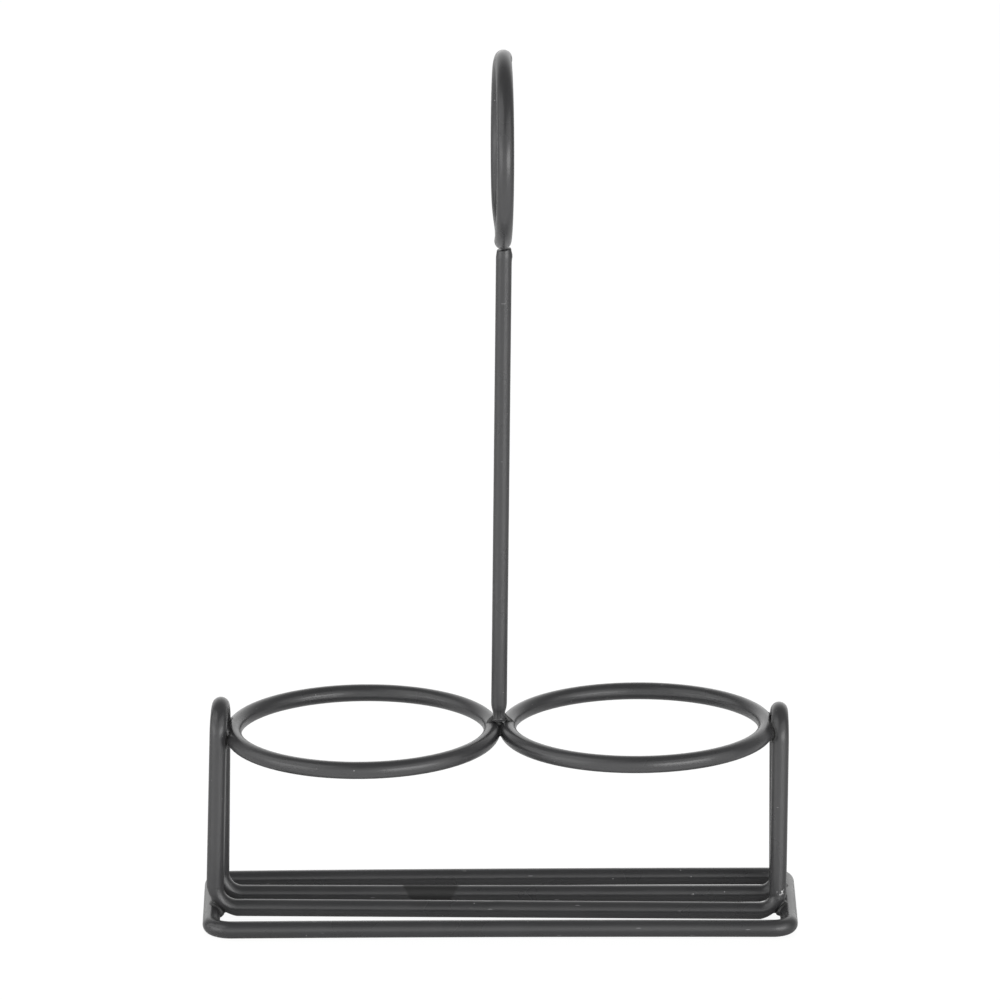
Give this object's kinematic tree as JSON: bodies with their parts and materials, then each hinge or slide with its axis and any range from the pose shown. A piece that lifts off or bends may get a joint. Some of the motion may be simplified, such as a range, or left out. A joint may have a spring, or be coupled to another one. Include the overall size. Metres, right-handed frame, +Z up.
{
  "type": "cruet stand",
  "caption": "Welded wire cruet stand: rings hold bottles side by side over a flat rectangular base, with a tall central stem and a round carrying loop on top.",
  "frame": {"origin": "on the table, under the middle of the base frame and in line with the stem", "axes": "+Z up along the stem, +X along the stand from the left ring to the right ring, +Y from the front to the rear"},
  "size_m": [0.17, 0.0786, 0.253],
  "materials": {
    "wire_coat": "satin black powder coat on steel wire",
    "weld_coat": "matte black powder coat over the welds"
  },
  "bodies": {
    "root": {"base_frame": "wire_coat", "cradle": "wire_coat", "left_ring": "wire_coat", "right_ring": "wire_coat", "stem": "wire_coat", "handle_loop": "wire_coat", "weld_base_front_left": "weld_coat", "weld_base_rear_left": "weld_coat", "weld_base_front_right": "weld_coat", "weld_base_rear_right": "weld_coat", "weld_ring_front_left": "weld_coat", "weld_ring_rear_left": "weld_coat", "weld_ring_front_right": "weld_coat", "weld_ring_rear_right": "weld_coat", "weld_centre": "weld_coat", "weld_loop": "weld_coat"}
  },
  "joints": []
}
